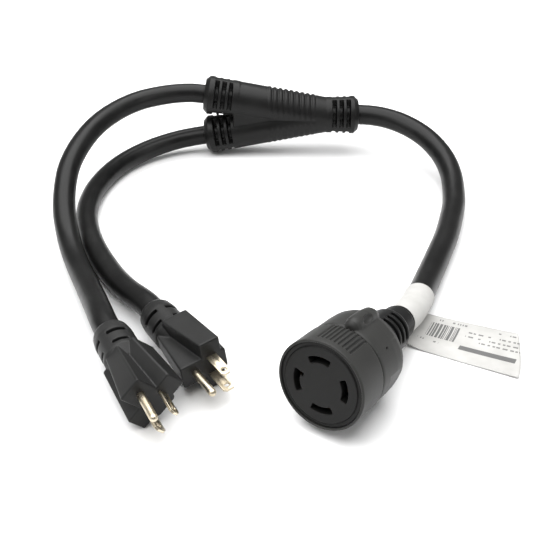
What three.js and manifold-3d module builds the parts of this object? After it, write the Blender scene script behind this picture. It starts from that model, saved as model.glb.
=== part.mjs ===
// Y-shaped generator adapter: one curved-blade locking receptacle on a heavy trunk cord, a moulded
// splitter, and two legs that end in moulded three-pin plugs. Millimetres, +Z up, lying on Z = 0.
import * as THREE from 'three';
import { mergeVertices } from 'three/addons/utils/BufferGeometryUtils.js';
import Module from 'manifold-3d';

const wasm = await Module();
wasm.setup();

// ---------------------------------------------------------------- driving dimensions
const GAP = 0.3;                 // clearance kept between neighbouring pieces
const ORIGIN = [-6.4, 516.1];           // the bench point that becomes X = Y = 0
const LEG_OD = 17.2;             // three-core leg cord
const TRUNK_OD = 18.4;           // four-core trunk cord
const CORD_SIDES = 12;
const CORD_STEP = 20;            // spacing of the sections along a cord
const FINE = 48;                 // sides of a large round
const MEDIUM = 24;               // sides of a collar or boot
const SMALL = 12;                // sides of a pin or barrel
const ARC_STEP = 18;             // degrees of a slot's arc in one straight piece

const SPLITTER = {
  y: 704,                        // bench Y of the splitter's middle plane
  lowZ: 17, highZ: 57, tilt: 8.5, neckZ: 37, webLowZ: 21, webHighZ: 53,
  armStart: -57, webStart: -30, webEnd: 57, neckEnd: 85,
  armR: 16.6, neckR: 16, collarR: 17.5, endR: 14.2, chamfer: 4, wall: 5.5,
};
const WINDOW = { rows: 3, count: 3, width: 3, gap: 3.6, depth: 4.2, span: 97, turn: 4 };   // collar slots
const JOINT = { reach: 7.3, side: 5.2, r: 3.5, from: -4, length: 26 };   // the four wire joints

const PLUG = {
  halfX: 18, lowY: -7, highY: 6.3, rearHalfX: 14.2, rearLowY: -5.2, rearHighY: 12.2, length: 40,
  ridgeHalf: 7.7, ridgeY: 20.7, ridgeRearHalf: 5.6, ridgeRearY: 17.4,
  bulgeHalf: 8, bulgeY: -9.6, neckY: 6.5, neckR: 12.4, neckLength: 26, edge: 0.9,
};
const CAVITY = { halfX: 11, low: -4.6, high: 4.6, rear: -38, front: -3, pinHalf: 4.2, pinTop: 15.4 };
const BLADE = { pitch: 12.7, width: 6.35, neutralWidth: 7.9, thick: 1.5, out: 18.6, holeR: 1.6, tip: 1.6 };
const GROUND_PIN = { y: 11.9, r: 2.4, out: 22.4 };

const RECEPTACLE = {
  faceR: 25.8, ringR: 22.8, faceThick: 6, sleeveR: 27.4, sleeveWall: 1.3, sleeveLength: 22.4,
  shellR: 27, shellEnd: 52.4, rimR: 21.5, shellWall: 2.4,
  slotR: 15.5, slotWidth: 3.9, slotSpan: 49, slotTurn: 10.5, hookR: 11.7, hookSpan: 14, blockEnd: 28,
  bootR: 14.4, bootTipR: 11.4, bootEnd: 95,
};
const RIB = { count: 9, first: 62, pitch: 5.5, half: 1.1, depth: 0.9, from: -21, to: -5.5 };   // grip slots of the sleeve

const LEFT_PLUG = { at: [-62, 334.9, 17.05], heading: -62.5, roll: 44.4, pitch: 0 };
const RIGHT_PLUG = { at: [-31.6, 365.8, 18.7], heading: -57.6, roll: 97.7, pitch: 0 };
const RECEPTACLE_AT = { at: [29, 330, 33.1], heading: 234.3, roll: 0, pitch: 8.3 };

const DEG = Math.PI / 180;

// a closed solid from a geometry, with its faces turned outwards
function solid(geometry) {
  const bare = geometry.clone();
  bare.deleteAttribute('normal');
  bare.deleteAttribute('uv');
  const merged = mergeVertices(bare);
  const triangles = [];
  for (let i = 0; i < merged.index.count; i += 3) {
    const [a, b, c] = [0, 1, 2].map((k) => merged.index.getX(i + k));
    if (a !== b && b !== c && c !== a) triangles.push(a, b, c);
  }
  if (signedVolume(merged.attributes.position, triangles) < 0) triangles.reverse();
  return new wasm.Manifold(new wasm.Mesh({
    numProp: 3,
    vertProperties: new Float32Array(merged.attributes.position.array),
    triVerts: new Uint32Array(triangles),
  }));
}

function signedVolume(position, triangles) {
  const corner = [new THREE.Vector3(), new THREE.Vector3(), new THREE.Vector3()];
  let sum = 0;
  for (let i = 0; i < triangles.length; i += 3) {
    corner.forEach((v, k) => v.fromBufferAttribute(position, triangles[i + k]));
    sum += corner[0].dot(corner[1].cross(corner[2]));
  }
  return sum;
}

function geometryOf(body) {
  const mesh = body.getMesh();
  const geometry = new THREE.BufferGeometry();
  const position = new Float32Array(mesh.numVert * 3);
  for (let v = 0; v < mesh.numVert; v += 1) {
    for (let k = 0; k < 3; k += 1) position[3 * v + k] = mesh.vertProperties[mesh.numProp * v + k];
  }
  geometry.setAttribute('position', new THREE.BufferAttribute(position, 3));
  geometry.setIndex(new THREE.BufferAttribute(new Uint32Array(mesh.triVerts), 1));
  geometry.computeVertexNormals();
  return geometry;
}

const join = (...bodies) => bodies.reduce((a, b) => a.add(b));
const cut = (body, ...tools) => tools.reduce((a, b) => a.subtract(b), body);

function polygon(points) {
  return new THREE.Shape(points.map(([x, y]) => new THREE.Vector2(x, y)));
}

// an outline in X and Y, from one Z to another
function prism(points, from, to) {
  const geometry = new THREE.ExtrudeGeometry(polygon(points), { depth: to - from, bevelEnabled: false });
  return solid(geometry.translate(0, 0, from));
}

// a profile of [radius, z] pairs turned about Z
function turned(profile, sides) {
  const points = profile.map(([r, z]) => new THREE.Vector2(r, z));
  return solid(new THREE.LatheGeometry(points, sides).rotateX(Math.PI / 2));
}

function block(low, high) {
  const size = low.map((v, k) => high[k] - v);
  const geometry = new THREE.BoxGeometry(...size);
  return solid(geometry.translate(...low.map((v, k) => v + size[k] / 2)));
}

function rod(radius, from, to, sides = SMALL) {
  return turned([[0, from], [radius, from], [radius, to], [0, to]], sides);
}

// part of a ring between two angles in degrees
function sector(inner, outer, start, end, from, to) {
  const steps = Math.max(2, Math.round((end - start) / ARC_STEP));
  const arc = (radius, reverse) => Array.from({ length: steps + 1 }, (_, i) => {
    const share = reverse ? 1 - i / steps : i / steps;
    const angle = (start + (end - start) * share) * DEG;
    return [radius * Math.cos(angle), radius * Math.sin(angle)];
  });
  return prism([...arc(outer, false), ...arc(inner, true)], from, to);
}

// a skin over sections that all have the same number of points, with flat ends
function loft(sections) {
  const count = sections[0].length;
  const index = [];
  for (let s = 0; s + 1 < sections.length; s += 1) {
    for (let i = 0; i < count; i += 1) {
      const a = s * count + i;
      const b = s * count + (i + 1) % count;
      index.push(a, b, a + count, b, b + count, a + count);
    }
  }
  const last = (sections.length - 1) * count;
  for (let i = 1; i + 1 < count; i += 1) {
    index.push(0, i + 1, i, last, last + i, last + i + 1);
  }
  const geometry = new THREE.BufferGeometry();
  geometry.setAttribute('position', new THREE.Float32BufferAttribute(sections.flat(2), 3));
  geometry.setIndex(index);
  return solid(geometry);
}

// moves a body built along Z so that it lies along +X from the given start
function alongX(body, [x, y, z]) {
  return body.rotate([0, 90, 0]).translate([x, y, z]);
}

const group = new THREE.Group();
const finish = {
  rubber: [0x1c1c1b, 0.62, 0],
  jacket: [0x141414, 0.5, 0],
  shell: [0x32322f, 0.6, 0],
  face: [0x262624, 0.55, 0],
  inner: [0x3a3a38, 0.7, 0],
  plated: [0xcdc3a5, 0.28, 1],
  copper: [0xb87b52, 0.35, 1],
  paper: [0xf2f1ec, 0.85, 0],
};

function addPiece(parent, name, body, look) {
  const [color, roughness, metalness] = finish[look];
  const material = new THREE.MeshStandardMaterial({ color, roughness, metalness });
  const mesh = new THREE.Mesh(geometryOf(body), material);
  mesh.name = name;
  parent.add(mesh);
}

// a group whose pieces are drawn in bench coordinates
function benchGroup() {
  const bench = new THREE.Group();
  bench.position.set(-ORIGIN[0], -ORIGIN[1], 0);
  group.add(bench);
  return bench;
}

// a group whose +Z looks out of an end's face, tipped up by the pitch and turned about +Z by the roll
function endGroup({ at, heading, roll, pitch }) {
  const level = Math.cos(pitch * DEG);
  const out = new THREE.Vector3(
    level * Math.cos(heading * DEG), level * Math.sin(heading * DEG), Math.sin(pitch * DEG));
  const side = new THREE.Vector3(-Math.sin(heading * DEG), Math.cos(heading * DEG), 0);
  const up = new THREE.Vector3().crossVectors(out, side);
  const basis = new THREE.Matrix4().makeBasis(side, up, out);
  const end = new THREE.Group();
  end.quaternion.setFromRotationMatrix(basis.multiply(new THREE.Matrix4().makeRotationZ(roll * DEG)));
  end.position.set(at[0] - ORIGIN[0], at[1] - ORIGIN[1], at[2]);
  group.add(end);
  return end;
}

// ---------------------------------------------------------------- the moulded splitter
const { y: MID_Y } = SPLITTER;
const splitter = benchGroup();

// points round a stadium in the Y-Z plane at one X: round top and bottom, flat sides
function stadium(x, lowZ, highZ, radius, sides = 24) {
  return Array.from({ length: sides }, (_, i) => {
    const angle = ((i + 0.5) / sides) * 2 * Math.PI;
    const centre = Math.sin(angle) > 0 ? highZ : lowZ;
    return [x, MID_Y + radius * Math.cos(angle), centre + radius * Math.sin(angle)];
  });
}

// the web's section closes from the two arms to the single neck
function webSection(x, inset = 0) {
  const share = (x - SPLITTER.webStart) / (SPLITTER.webEnd - SPLITTER.webStart);
  const open = Math.max(0, 1 - share);
  const radius = SPLITTER.neckR + (SPLITTER.armR - SPLITTER.neckR) * open - inset;
  const lowZ = SPLITTER.neckZ - (SPLITTER.neckZ - SPLITTER.webLowZ) * open;
  const highZ = SPLITTER.neckZ + (SPLITTER.webHighZ - SPLITTER.neckZ) * open;
  return stadium(x, lowZ, highZ, radius);
}

// a slotted collar along +Z or -Z from its end face, which is at Z = 0
function collar(inward, length) {
  const { collarR, endR, chamfer, armR } = SPLITTER;
  const profile = [[0, 0], [endR, 0], [collarR, chamfer], [collarR, 11], [armR + 0.3, length], [0, length]];
  const body = turned(profile.map(([r, d]) => [r, d * inward]), MEDIUM);
  const slots = [];
  for (let row = 0; row < WINDOW.rows; row += 1) {
    const near = inward * (chamfer + 5 + row * (WINDOW.width + WINDOW.gap));
    const far = near + inward * WINDOW.width;
    for (let i = 0; i < WINDOW.count; i += 1) {
      const middle = WINDOW.turn + (360 / WINDOW.count) * i;
      const [start, stop] = [middle - WINDOW.span / 2, middle + WINDOW.span / 2];
      slots.push(sector(collarR - WINDOW.depth, collarR + 2, start, stop,
        Math.min(near, far), Math.max(near, far)));
    }
  }
  return cut(body, ...slots);
}

// lays a body built along +Z along an arm, from the middle of the arm's end face
function inArm(body, z, tilt) {
  return body.rotate([0, 90 + tilt, 0]).translate([SPLITTER.armStart, MID_Y, z]);
}

function buildSplitter() {
  const { armStart, webStart, webEnd, neckEnd, lowZ, highZ, tilt, neckZ, wall } = SPLITTER;
  const [hollowStart, hollowEnd, passageR] = [-22, 44, 7.6];
  const stations = [webStart, -15, 0, 15, 30, 44, 52, webEnd + 1];
  const web = loft(stations.map((x) => webSection(x)));
  const armLength = webStart - armStart + 5;
  const arms = [inArm(collar(1, armLength), lowZ, -tilt), inArm(collar(1, armLength), highZ, tilt)];
  const neck = alongX(collar(-1, neckEnd - webEnd + 2), [neckEnd, MID_Y, neckZ]);

  const hollow = loft([hollowStart, 0, 20, hollowEnd].map((x) => webSection(x, wall)));
  const inward = hollowStart - armStart + 2;
  const passages = [
    inArm(rod(passageR, -1, inward, MEDIUM), lowZ, -tilt),
    inArm(rod(passageR, -1, inward, MEDIUM), highZ, tilt),
    alongX(rod(passageR, 0, neckEnd - hollowEnd + 3, MEDIUM), [hollowEnd - 2, MID_Y, neckZ]),
  ];
  const shell = cut(join(web, ...arms, neck), hollow, ...passages);
  addPiece(splitter, 'splitter_overmould', shell, 'rubber');

  // the hard inner block holds the four joints apart
  const joints = [
    ['line_1_joint', 0, neckZ + JOINT.reach], ['line_2_joint', 0, neckZ - JOINT.reach],
    ['neutral_joint', -JOINT.side, neckZ], ['ground_joint', JOINT.side, neckZ],
  ];
  const blockEnds = [hollowStart + GAP, 0, 20, hollowEnd - GAP];
  const solidBlock = loft(blockEnds.map((x) => webSection(x, wall + GAP)));
  const pockets = joints.map(([, y, z]) => alongX(rod(JOINT.r + 0.4, 0, 80), [webStart, MID_Y + y, z]));
  addPiece(splitter, 'splitter_inner_block', cut(solidBlock, ...pockets), 'inner');
  const [r, waist, end] = [JOINT.r, JOINT.r - 0.6, JOINT.length];
  const barrel = [
    [0, 0], [waist, 0], [r, 1], [r, 8], [waist, 10], [waist, end - 10], [r, end - 8], [r, end - 1],
    [waist, end], [0, end],
  ];
  joints.forEach(([name, y, z]) => {
    addPiece(splitter, name, alongX(turned(barrel, SMALL), [JOINT.from, MID_Y + y, z]), 'copper');
  });

  // insulated wires where each cord's jacket has ended
  const wiresEnd = hollowStart - armStart - 1;
  const legWires = () => wireBundle(3, 7, GAP, wiresEnd);
  addPiece(splitter, 'outer_leg_wires', inArm(legWires(), highZ, tilt), 'inner');
  addPiece(splitter, 'inner_leg_wires', inArm(legWires(), lowZ, -tilt), 'inner');
  const trunkWires = wireBundle(4, 7.2, 0, neckEnd - hollowEnd - 1);
  addPiece(splitter, 'trunk_wires', alongX(trunkWires, [hollowEnd + 0.5, MID_Y, neckZ]), 'inner');
}

// insulated wires lying together as one lobed bar
function wireBundle(wires, radius, from, to) {
  const sides = wires * 8;
  const outline = Array.from({ length: sides }, (_, i) => {
    const angle = (i / sides) * 2 * Math.PI;
    const reach = radius * (0.86 + 0.14 * Math.cos(wires * angle));
    return [reach * Math.cos(angle), reach * Math.sin(angle)];
  });
  return prism(outline, from, to);
}

// ---------------------------------------------------------------- a three-pin plug
// local frame: the face at Z = 0 looks along +Z, blades at X = +-6.35, ground pin on +Y

// a rectangle with cut corners at one Z
function panel(halfX, lowY, highY, z, corner = PLUG.edge) {
  const c = corner;
  return [
    [-halfX + c, lowY, z], [halfX - c, lowY, z], [halfX, lowY + c, z], [halfX, highY - c, z],
    [halfX - c, highY, z], [-halfX + c, highY, z], [-halfX, highY - c, z], [-halfX, lowY + c, z],
  ];
}

function plugShell() {
  const { halfX, lowY, highY, rearHalfX, rearLowY, rearHighY, length, edge } = PLUG;
  const main = loft([
    panel(rearHalfX, rearLowY, rearHighY, -length), panel(halfX, lowY, highY, -edge),
    panel(halfX - edge, lowY + edge, highY - edge, 0),
  ]);
  const { ridgeHalf, ridgeY, ridgeRearHalf, ridgeRearY, bulgeHalf, bulgeY } = PLUG;
  const ridge = loft([
    panel(ridgeRearHalf, 0, ridgeRearY, -length - 0.5), panel(ridgeHalf, 0, ridgeY, -edge),
    panel(ridgeHalf - edge, 0, ridgeY - edge, 0),
  ]);
  const bulge = loft([
    panel(bulgeHalf - 3, rearLowY + 1, 0, -length + 2), panel(bulgeHalf, bulgeY, 0, -length / 2, 2),
    panel(bulgeHalf, bulgeY, 0, -edge, 2), panel(bulgeHalf - edge, bulgeY + edge, 0, 0, 2),
  ]);
  const { neckY, neckR, neckLength } = PLUG;
  const end = -length - neckLength;
  const neck = turned([
    [0, end], [neckR - 3, end], [neckR - 0.8, end + 3], [neckR, end + 9], [neckR, -length + 1],
    [neckR - 4, -length + 8], [0, -length + 8],
  ], MEDIUM);
  const slots = [];
  const rows = [[-length - 4.4, 2.4, 25], [-length - 14.6, 2.6, 32]];
  rows.forEach(([from, width, half]) => {
    for (let quarter = 0; quarter < 4; quarter += 1) {
      const middle = 42 + 90 * quarter;
      slots.push(sector(neckR - 2.6, neckR + 2, middle - half, middle + half, from, from + width));
    }
  });
  return join(cut(neck, ...slots).translate([0, neckY, 0]), main, ridge, bulge);
}

// a flat blade with a cut tip, a hole near it and a crimp barrel behind
function blade(x, width) {
  const [halfT, halfW, out] = [BLADE.thick / 2, width / 2, BLADE.out];
  const outline = [
    [-halfW, -24], [halfW, -24], [halfW, out - BLADE.tip], [halfW - BLADE.tip, out], [BLADE.tip - halfW, out],
    [-halfW, out - BLADE.tip],
  ];
  const flat = prism(outline, -halfT, halfT).rotate([90, 0, 90]);
  const hole = rod(BLADE.holeR, -2, 2).rotate([0, 90, 0]).translate([0, 0, out - 4.2]);
  return join(cut(flat, hole), rod(2.5, -34, -22.5)).translate([x, 0, 0]);
}

function groundPin() {
  const { y, r, out } = GROUND_PIN;
  const pin = turned([[0, -22], [r, -22], [r, out - 3], [r * 0.8, out - 1.2], [r * 0.42, out], [0, out]], 20);
  return join(pin.translate([0, y, 0]), rod(2.3, -32, -20.5).translate([0, y - 1.8, 0]));
}

function buildPlug(side, place) {
  const plug = endGroup(place);
  const { halfX, low, high, rear, front, pinHalf, pinTop } = CAVITY;
  const end = -PLUG.length - PLUG.neckLength;
  const cavity = join(
    block([-halfX, low, rear], [halfX, high, front]), block([-pinHalf, 0, -34], [pinHalf, 13, -22.4]),
    block([-pinHalf, 0, -22.5], [pinHalf, pinTop, front]),
    rod(6.9, end - 1, rear + 1.5, MEDIUM).translate([0, PLUG.neckY, 0]),
  );
  const opening = (x, width) => block(
    [x - BLADE.thick / 2 - GAP, -width / 2 - GAP, -30], [x + BLADE.thick / 2 + GAP, width / 2 + GAP, 5]);
  const half = BLADE.pitch / 2;
  const openings = [
    opening(half, BLADE.width), opening(-half, BLADE.neutralWidth),
    rod(GROUND_PIN.r + GAP, -30, 5, 20).translate([0, GROUND_PIN.y, 0]),
  ];
  addPiece(plug, `${side}_plug_overmould`, cut(plugShell(), cavity, ...openings), 'rubber');
  const carrier = join(
    block([-halfX + GAP, low + GAP, -20], [halfX - GAP, high - GAP, front - GAP]),
    block([-pinHalf + GAP, 0, -20], [pinHalf - GAP, pinTop - GAP, front - GAP]));
  addPiece(plug, `${side}_plug_blade_carrier`, cut(carrier, ...openings), 'inner');
  addPiece(plug, `${side}_plug_line_blade`, blade(half, BLADE.width), 'plated');
  addPiece(plug, `${side}_plug_neutral_blade`, blade(-half, BLADE.neutralWidth), 'plated');
  addPiece(plug, `${side}_plug_ground_pin`, groundPin(), 'plated');
  const wires = wireBundle(3, 6.5, end + GAP, rear + 1).translate([0, PLUG.neckY, 0]);
  addPiece(plug, `${side}_plug_wires`, wires, 'inner');
}

// ---------------------------------------------------------------- the locking receptacle
// local frame: the face at Z = 0 looks along +Z, +Y is up on the bench
const QUARTERS = [0, 1, 2, 3];
const SLOT_ANGLES = QUARTERS.map((i) => 90 * i + RECEPTACLE.slotTurn);
const CONTACT_NAMES = ['line_1_contact', 'neutral_contact', 'ground_contact', 'line_2_contact'];
const GROUND_SLOT = 2;

// one curved slot, widened all round by grow; the ground slot has a hook inwards at its end
function slotTool(index, grow, from, to) {
  const { slotR, slotWidth, slotSpan, hookR, hookSpan } = RECEPTACLE;
  const spread = slotSpan / 2 + (grow / slotR) / DEG;
  const start = SLOT_ANGLES[index] - spread;
  const [inner, outer] = [slotR - slotWidth / 2 - grow, slotR + slotWidth / 2 + grow];
  const arc = sector(inner, outer, start, start + 2 * spread, from, to);
  if (index !== GROUND_SLOT) return arc;
  return join(arc, sector(hookR - grow, outer - 1, start - 2, start + hookSpan, from, to));
}

function faceBody() {
  const { faceR, ringR, faceThick } = RECEPTACLE;
  const rear = -faceThick - 0.8;
  const disc = turned([
    [0, rear], [faceR, rear], [faceR, -1.3], [ringR + 0.6, -1.3], [ringR, -0.5], [0, -0.5],
  ], FINE);
  return cut(disc, ...QUARTERS.map((i) => slotTool(i, 0, rear - 1.2, 1)));
}

function sleeveBody() {
  const { sleeveR, sleeveWall, sleeveLength } = RECEPTACLE;
  const inner = sleeveR - sleeveWall;
  const sleeve = turned([
    [inner, -sleeveLength], [sleeveR, -sleeveLength], [sleeveR, -0.6], [sleeveR - 0.6, 0], [inner, 0],
    [inner, -sleeveLength],
  ], FINE);
  const ribs = [];
  for (let i = 0; i < RIB.count; i += 1) {
    const middle = RIB.first + RIB.pitch * i;
    ribs.push(sector(sleeveR - RIB.depth, sleeveR + 1, middle - RIB.half, middle + RIB.half, RIB.from, RIB.to));
  }
  return cut(sleeve, ...ribs);
}

// open at the front, with a wall at the back that the boot comes through
function rearShellBody() {
  const { sleeveLength, shellR, shellEnd, shellWall, rimR, bootR } = RECEPTACLE;
  const front = -sleeveLength - GAP;
  const shoulder = [[shellR - 3.4, -shellEnd + 0.8], [shellR - 1.4, -shellEnd + 2.9], [shellR - 0.4, -shellEnd + 6.4]];
  const inside = [[rimR - shellWall, -shellEnd + shellWall], [shellR - shellWall - 1.2, -44], [shellR - shellWall, -38]];
  const shell = turned([
    [shellR - 0.4, front], [shellR, front - 1], [shellR, -40], ...shoulder.reverse(), [rimR, -shellEnd],
    [bootR + GAP, -shellEnd], [bootR + GAP, -shellEnd + shellWall], ...inside, [shellR - shellWall, front],
    [shellR - 0.4, front],
  ], FINE);
  const boss = loft([
    [-shellEnd + 0.6, 21, 27.6, 4.4], [-46, 23, 30.2, 5.4], [-33, 24.4, 31.8, 5.6], [-27, 24.4, 31.8, 5.2],
    [-24, 24.6, 29.2, 3.6],
  ].map(([z, low, high, half]) => panel(half, low, high, z, (high - low) * 0.42)));
  const keep = turned([
    [0, -shellEnd - 1], [rimR - shellWall, -shellEnd - 1], ...inside, [shellR - shellWall, 0], [0, 0],
  ], FINE);
  const screwBoss = cut(boss, keep).rotate([0, 0, -3]);
  const hole = block([shellR - 4, -0.7, -35.2], [shellR + 1, 0.7, -33]).rotate([0, 0, 40]);
  const facet = block([-13, shellR - 1.7, -shellEnd - 1], [13, shellR + 2, -32]).rotate([0, 0, -115]);
  return cut(join(shell, screwBoss), hole, facet);
}

function bootBody() {
  const { bootR, bootTipR, bootEnd, shellEnd, shellWall } = RECEPTACLE;
  const boot = turned([
    [0, -bootEnd], [bootTipR - 1, -bootEnd], [bootTipR, -bootEnd + 1], [bootTipR + 0.2, -bootEnd + 10],
    [bootR - 0.4, -72], [bootR, -62], [bootR, -shellEnd + shellWall + GAP],
    [bootR + 2.6, -shellEnd + shellWall + GAP], [bootR + 2.6, -46], [0, -46],
  ], MEDIUM);
  const slots = [];
  for (let row = 0; row < 3; row += 1) {
    for (const middle of [42, 222]) {
      const z = -66.4 - 6.4 * row;
      slots.push(sector(bootR - 3.6, bootR + 2, middle - 44, middle + 44, z, z + 2.8));
    }
  }
  return cut(boot, ...slots, rod(8, -bootEnd - 1, -45, MEDIUM));
}

function buildReceptacle() {
  const end = endGroup(RECEPTACLE_AT);
  const { faceR, faceThick, shellR, shellWall, slotR, slotWidth, blockEnd, bootEnd } = RECEPTACLE;
  addPiece(end, 'receptacle_face', faceBody(), 'face');
  addPiece(end, 'receptacle_front_sleeve', sleeveBody(), 'shell');

  const innerR = shellR - shellWall - GAP;
  const contactBlock = rod(innerR, -blockEnd, -faceThick - 0.8 - GAP, FINE);
  const pocketGrow = 1.2;
  const pockets = QUARTERS.map((i) => slotTool(i, pocketGrow, -blockEnd - 1, 0));
  addPiece(end, 'receptacle_contact_block', cut(contactBlock, ...pockets), 'inner');

  // each contact is a pair of curved leaves joined at the rear, with a wire barrel behind
  const [barrelR, barrelEnd] = [2.4, -37];
  const barrelAt = (body, i) => body.translate([
    slotR * Math.cos(SLOT_ANGLES[i] * DEG), slotR * Math.sin(SLOT_ANGLES[i] * DEG), 0]);
  const leafR = slotWidth / 2 + 0.1;
  const leafT = 0.7;
  QUARTERS.forEach((i) => {
    const [start, stop] = [SLOT_ANGLES[i] - 20, SLOT_ANGLES[i] + 20];
    const leaves = join(
      sector(slotR - leafR - leafT, slotR - leafR, start, stop, -blockEnd + 1, -8),
      sector(slotR + leafR, slotR + leafR + leafT, start, stop, -blockEnd + 1, -8),
      sector(slotR - leafR - leafT, slotR + leafR + leafT, start, stop, -blockEnd + 0.4, -blockEnd + 1.4));
    const barrel = barrelAt(rod(barrelR, barrelEnd, -blockEnd + 1), i);
    addPiece(end, `receptacle_${CONTACT_NAMES[i]}`, join(leaves, barrel), 'copper');
  });

  addPiece(end, 'receptacle_rear_shell', rearShellBody(), 'shell');

  // moulded block that holds the wire ends, with a hole for each barrel
  const wireHoles = QUARTERS.map((i) => barrelAt(rod(barrelR + 0.4, -50, -20), i));
  const wireBlock = turned([
    [0, -45], [19.6, -45], [innerR - 1.8, -40], [innerR - 1, -34], [innerR - 1, -blockEnd - GAP],
    [0, -blockEnd - GAP],
  ], MEDIUM);
  addPiece(end, 'receptacle_wire_block', cut(wireBlock, ...wireHoles), 'inner');
  addPiece(end, 'receptacle_boot', bootBody(), 'rubber');
  addPiece(end, 'receptacle_wires', wireBundle(4, 7.6, -bootEnd + GAP, -46.3), 'inner');
}

// ---------------------------------------------------------------- cords
// route points on the bench, from the splitter to the end they serve
const OUTER_LEG = [
  [-58.2, 704, 57.2], [-68, 703, 58.5], [-82, 699.8, 59.2], [-98, 692.6, 59.5], [-114, 681, 59.5],
  [-130, 661.5, 58.5], [-144, 636, 55.5], [-153, 608, 50.5], [-158, 581, 43], [-158, 558, 34],
  [-155, 537, 25], [-149, 517, 17.5], [-142.7, 500.1, 14], [-134.8, 481.5, 12.6], [-124.8, 458.3, 14],
  [-115.5, 435.8, 17], [-106.4, 413, 20.6], [-101.8, 401.8, 21.6], [-96.97, 392.23, 21.69],
];
const INNER_LEG = [
  [-58.2, 704, 16.8], [-68, 702.9, 15.6], [-82, 699.2, 14.1], [-99, 690.3, 12.4], [-115, 677.5, 10.7],
  [-130, 657, 9.6], [-140, 633, 9], [-145.5, 607, 8.8], [-146.5, 583, 8.8], [-144.5, 562, 8.8],
  [-139.5, 541, 8.8], [-132.5, 521, 8.8], [-124, 502, 8.8], [-114.1, 482.8, 9.4], [-104, 464.4, 11.2],
  [-92.5, 446.5, 14], [-84.5, 435.8, 16.2], [-78.2, 427.3, 17.5], [-72.94, 418.92, 17.83],
];
const TRUNK = [
  [86.4, 704, 37], [96.5, 702.6, 36.9], [109, 698.9, 36.2], [122.5, 691.6, 34.5], [134.5, 681.2, 32],
  [144.5, 668.4, 28.8], [152, 653.5, 25], [156.8, 637, 21], [158.4, 619, 17], [157, 599, 13.5],
  [153, 576, 10.8], [146, 552, 9.6], [138, 528, 9.5], [129.4, 506.6, 9.5], [121.5, 487.5, 9.6],
  [112, 464.5, 10.4], [103.7, 444, 12.4], [96.9, 428.3, 15], [90.7, 416.2, 17.5], [84.45, 407.15, 19.24],
];

function routeCurve(points) {
  return new THREE.CatmullRomCurve3(points.map((p) => new THREE.Vector3(...p)), false, 'centripetal');
}

function cordBody(points, diameter) {
  const curve = routeCurve(points);
  const section = Array.from({ length: CORD_SIDES }, (_, i) => {
    const angle = ((i + 0.5) / CORD_SIDES) * 2 * Math.PI;
    return [(diameter / 2) * Math.cos(angle), (diameter / 2) * Math.sin(angle)];
  });
  const steps = Math.round(curve.getLength() / CORD_STEP);
  return solid(new THREE.ExtrudeGeometry(polygon(section), { steps, extrudePath: curve }));
}

// ---------------------------------------------------------------- the paper label
const LABEL = {
  start: 1.2, width: 41, radius: TRUNK_OD / 2 + 0.95, thick: 0.3, leaveAngle: 233, overlap: 18,
  flagTurn: -22, slope: -37, restZ: 0.4, length: 84, taper: 0.245,
};

// the wrap's and flag's middle line at one distance from the label's near edge, as points on the bench
function labelRow(curve, distance) {
  const share = (LABEL.start + distance) / curve.getLength();
  const centre = curve.getPointAt(share);
  const along = curve.getTangentAt(share);
  const side = new THREE.Vector3(0, 0, 1).cross(along).normalize().negate();
  const up = new THREE.Vector3().crossVectors(side, along).normalize();
  const row = [];
  const turn = 360 - LABEL.overlap;
  const steps = 16;
  for (let i = 0; i <= steps; i += 1) {
    const angle = (LABEL.leaveAngle - turn + (turn * i) / steps) * DEG;
    row.push(centre.clone()
      .addScaledVector(side, LABEL.radius * Math.cos(angle))
      .addScaledVector(up, LABEL.radius * Math.sin(angle)));
  }
  const flagWay = new THREE.Vector3(Math.cos(LABEL.flagTurn * DEG), Math.sin(LABEL.flagTurn * DEG), 0);
  const leave = row[row.length - 1];
  const slope = Math.tan(LABEL.slope * DEG);
  for (const reach of [4, 9, 15, 21, 28, 38, 58, LABEL.length - LABEL.taper * distance]) {
    const straight = leave.z + slope * reach;
    const soft = 3;
    const z = LABEL.restZ + soft * Math.log1p(Math.exp((straight - LABEL.restZ) / soft));
    row.push(leave.clone().addScaledVector(flagWay, reach).setZ(z - soft * 0.1 * Math.exp(-reach / 8)));
  }
  return row;
}

// a closed thin sheet about a grid of middle points
function sheet(rows, thick) {
  const [down, across] = [rows.length, rows[0].length];
  const positions = [];
  for (const half of [thick / 2, -thick / 2]) {
    for (let r = 0; r < down; r += 1) {
      for (let c = 0; c < across; c += 1) {
        const alongCord = rows[Math.min(r + 1, down - 1)][c].clone().sub(rows[Math.max(r - 1, 0)][c]);
        const acrossWay = rows[r][Math.min(c + 1, across - 1)].clone().sub(rows[r][Math.max(c - 1, 0)]);
        const normal = alongCord.cross(acrossWay).normalize();
        positions.push(...rows[r][c].clone().addScaledVector(normal, half).toArray());
      }
    }
  }
  const at = (layer, r, c) => layer * down * across + r * across + c;
  const index = [];
  const quad = (a, b, c, d) => index.push(a, b, c, a, c, d);
  for (let r = 0; r + 1 < down; r += 1) {
    for (let c = 0; c + 1 < across; c += 1) {
      quad(at(0, r, c), at(0, r + 1, c), at(0, r + 1, c + 1), at(0, r, c + 1));
      quad(at(1, r, c), at(1, r, c + 1), at(1, r + 1, c + 1), at(1, r + 1, c));
    }
    quad(at(0, r + 1, 0), at(0, r, 0), at(1, r, 0), at(1, r + 1, 0));
    quad(at(0, r, across - 1), at(0, r + 1, across - 1), at(1, r + 1, across - 1), at(1, r, across - 1));
  }
  for (let c = 0; c + 1 < across; c += 1) {
    quad(at(0, 0, c), at(0, 0, c + 1), at(1, 0, c + 1), at(1, 0, c));
    quad(at(0, down - 1, c + 1), at(0, down - 1, c), at(1, down - 1, c), at(1, down - 1, c + 1));
  }
  const geometry = new THREE.BufferGeometry();
  geometry.setAttribute('position', new THREE.Float32BufferAttribute(positions, 3));
  geometry.setIndex(index);
  return solid(geometry);
}

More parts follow.
